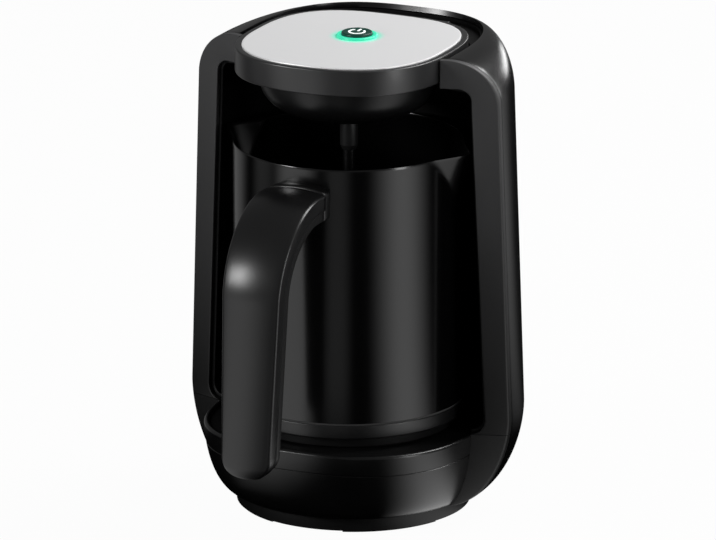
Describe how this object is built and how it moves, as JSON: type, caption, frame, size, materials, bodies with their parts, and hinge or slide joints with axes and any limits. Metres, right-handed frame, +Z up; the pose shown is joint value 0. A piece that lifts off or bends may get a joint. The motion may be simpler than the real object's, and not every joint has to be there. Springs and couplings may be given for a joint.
{
  "type": "electric turkish coffee maker",
  "caption": "Electric turkish coffee maker: rounded black stand with a hinged lid, overflow probe and lit power button over a lift-out heated pot with a strap handle.",
  "frame": {"origin": "on the table under the pot's axis, at the middle of the centre foot pad", "axes": "+Z up, the front with the handle faces -Y, +X to the right as seen from the front"},
  "size_m": [0.1408, 0.1703, 0.194],
  "materials": {
    "shell_gloss": "high gloss moulded shell",
    "frame_satin": "fine satin moulding",
    "deck_black": "fine texture",
    "steel": "plated steel",
    "bowl_satin": "satin moulding",
    "coupler_grey": "heat proof moulding",
    "contact_metal": "plain",
    "ring_grey": "satin",
    "rubber": "dull",
    "board_green": "circuit board",
    "part_black": "moulded parts",
    "wire": "insulated wire",
    "band_satin": "satin with a metal sheen",
    "plate_steel": "fine brushed",
    "glow_ring": "translucent, lit green",
    "dome_black": "half gloss",
    "holder_black": "heat proof moulding",
    "probe_steel": "dark polished steel",
    "button_dark": "dark cap with a pale power symbol",
    "pot_gloss": "glossy black enamel",
    "foot_black": "satin",
    "plate_alu": "cast",
    "handle_black": "satin",
    "handle_grey": "satin"
  },
  "bodies": {
    "stand": {"outer_shell": "shell_gloss", "front_frame": "frame_satin", "top_deck": "deck_black", "hinge_pin": "steel", "base_bowl": "bowl_satin", "pot_deck": "deck_black", "base_coupler": "coupler_grey", "coupler_pin": "contact_metal", "foot_ring": "ring_grey", "bottom_plate": "deck_black", "rubber_feet": "rubber", "bottom_screws": "steel", "power_board": "board_green", "board_parts": "part_black", "board_screws": "steel", "cord_gland": "deck_black", "gland_nut": "coupler_grey", "body_harness": "wire"},
    "lid": {"lid_shell": "band_satin", "top_plate": "plate_steel", "light_ring": "glow_ring", "lid_dome": "dome_black", "dome_screws": "steel", "control_board": "board_green", "control_parts": "part_black", "control_screws": "steel", "probe_holder": "holder_black", "overflow_probe": "probe_steel", "probe_nut": "steel", "probe_lead": "wire"},
    "button": {"power_button": "button_dark"},
    "plunger": {"switch_plunger": "part_black"},
    "pot": {"pot_vessel": "pot_gloss", "pot_foot": "foot_black", "foot_seal": "rubber", "foot_screws": "steel", "pot_coupler": "coupler_grey", "heater_plate": "plate_alu", "heating_element": "contact_metal", "thermostat": "steel", "handle_bracket": "handle_black", "handle_outer": "handle_black", "handle_inner": "handle_grey", "handle_screws": "steel"}
  },
  "joints": [
    {"name": "lid_hinge", "type": "hinge", "parent": "stand", "child": "lid", "pos_m": [0, 0.0526, 0.1861], "axis": [-1, 0, 0], "range_deg": [0, 80]},
    {"name": "button_press", "type": "slide", "parent": "lid", "child": "button", "axis": [0, 0, -1], "range_m": [0, 0.0008], "stiffness_N_per_m": 900, "springref_m": -0.0006},
    {"name": "plunger_press", "type": "slide", "parent": "lid", "child": "plunger", "axis": [0, 0, -1], "range_m": [0, 0.0008]},
    {"name": "pot_lift", "type": "slide", "parent": "stand", "child": "pot", "axis": [0, 0, 1], "range_m": [0, 0.024]}
  ],
  "couplings": [
    {"joint": "plunger_press", "follows": "button_press", "ratio": 1}
  ]
}
